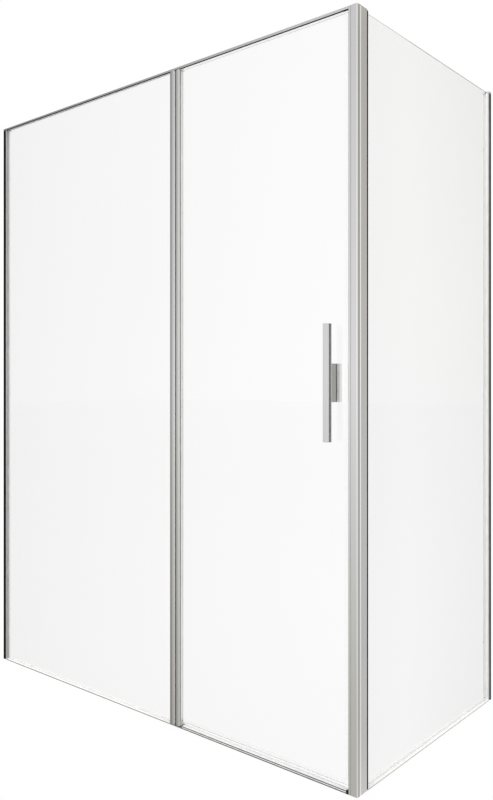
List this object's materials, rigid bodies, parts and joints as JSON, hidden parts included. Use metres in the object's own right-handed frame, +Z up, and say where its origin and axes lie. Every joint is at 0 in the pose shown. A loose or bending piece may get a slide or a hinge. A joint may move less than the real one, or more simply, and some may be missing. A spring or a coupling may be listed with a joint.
{
  "type": "corner shower enclosure",
  "caption": "Corner shower enclosure: a fixed glass pane and a pivot glass door with bar handle meet a glazed side at a slim corner post, in bright aluminium profiles.",
  "frame": {"origin": "on the floor, at the middle of the bounding box, handle included", "axes": "+X along the front from the left wall to the corner post, +Y from the front to the back wall, +Z up"},
  "size_m": [1.51, 0.8372, 1.95],
  "materials": {
    "profile": "bright polished, clear anodised",
    "coated_profile": "white powder coat, matt",
    "dark_profile": "black anodised, satin",
    "clear_glass": "clear toughened, ground edges",
    "grey_gasket": "matt",
    "milky_gasket": "matt, milky translucent",
    "black_rubber": "matt",
    "clear_seal": "translucent, smooth",
    "cap_plastic": "plastic moulding, bright plated",
    "magnet_strip": "matt",
    "handle_metal": "bright plated",
    "steel": "brushed",
    "black_steel": "blackened",
    "bearing_plastic": "smooth"
  },
  "bodies": {
    "enclosure": {"wall_channel_front": "dark_profile", "wall_channel_side": "dark_profile", "glazing_profile_front": "profile", "glazing_profile_side": "profile", "glazing_gasket_front_low": "grey_gasket", "glazing_gasket_front_high": "milky_gasket", "glazing_gasket_side_low": "milky_gasket", "glazing_gasket_side_high": "milky_gasket", "wall_cap_front": "cap_plastic", "wall_cap_side": "cap_plastic", "fixed_glass": "clear_glass", "side_glass": "clear_glass", "fixed_sill": "coated_profile", "side_sill": "coated_profile", "fixed_bed_strip": "clear_seal", "side_bed_strip": "clear_seal", "mullion": "profile", "mullion_cap": "cap_plastic", "mullion_gasket_outer": "grey_gasket", "mullion_gasket_inner": "milky_gasket", "corner_jamb": "profile", "side_post": "profile", "corner_cap": "cap_plastic", "jamb_magnet": "magnet_strip", "side_gasket_outer": "black_rubber", "side_gasket_inner": "black_rubber", "top_rail": "profile", "rail_seal_fixed": "black_rubber", "rail_seal_door": "black_rubber", "rail_filler_fixed": "milky_gasket", "rail_filler_door": "milky_gasket", "rail_end_block": "black_steel", "top_pivot_bracket": "steel", "pivot_foot": "steel", "top_pivot_pin": "steel", "bottom_pivot_pin": "steel", "thrust_washer": "bearing_plastic", "threshold": "coated_profile", "threshold_end_seal": "black_rubber"},
    "door": {"door_glass": "clear_glass", "hinge_stile": "profile", "stile_cap_bottom": "cap_plastic", "stile_cap_top": "cap_plastic", "bottom_bush": "bearing_plastic", "top_bush": "bearing_plastic", "stile_gasket_outer": "grey_gasket", "stile_gasket_inner": "milky_gasket", "door_magnet_seal": "clear_seal", "door_magnet": "magnet_strip", "door_bottom_seal": "clear_seal", "handle_bar": "handle_metal", "handle_block": "handle_metal", "handle_inner_grip": "handle_metal", "handle_gasket_outer": "black_rubber", "handle_gasket_inner": "milky_gasket", "handle_bolt_lower": "steel", "handle_bolt_upper": "steel", "handle_sleeve_lower": "bearing_plastic", "handle_sleeve_upper": "bearing_plastic"}
  },
  "joints": [
    {"name": "door_swing", "type": "hinge", "parent": "enclosure", "child": "door", "pos_m": [0.1346, -0.38445, 0.975], "axis": [0, 0, -1], "range_deg": [0, 90]}
  ]
}
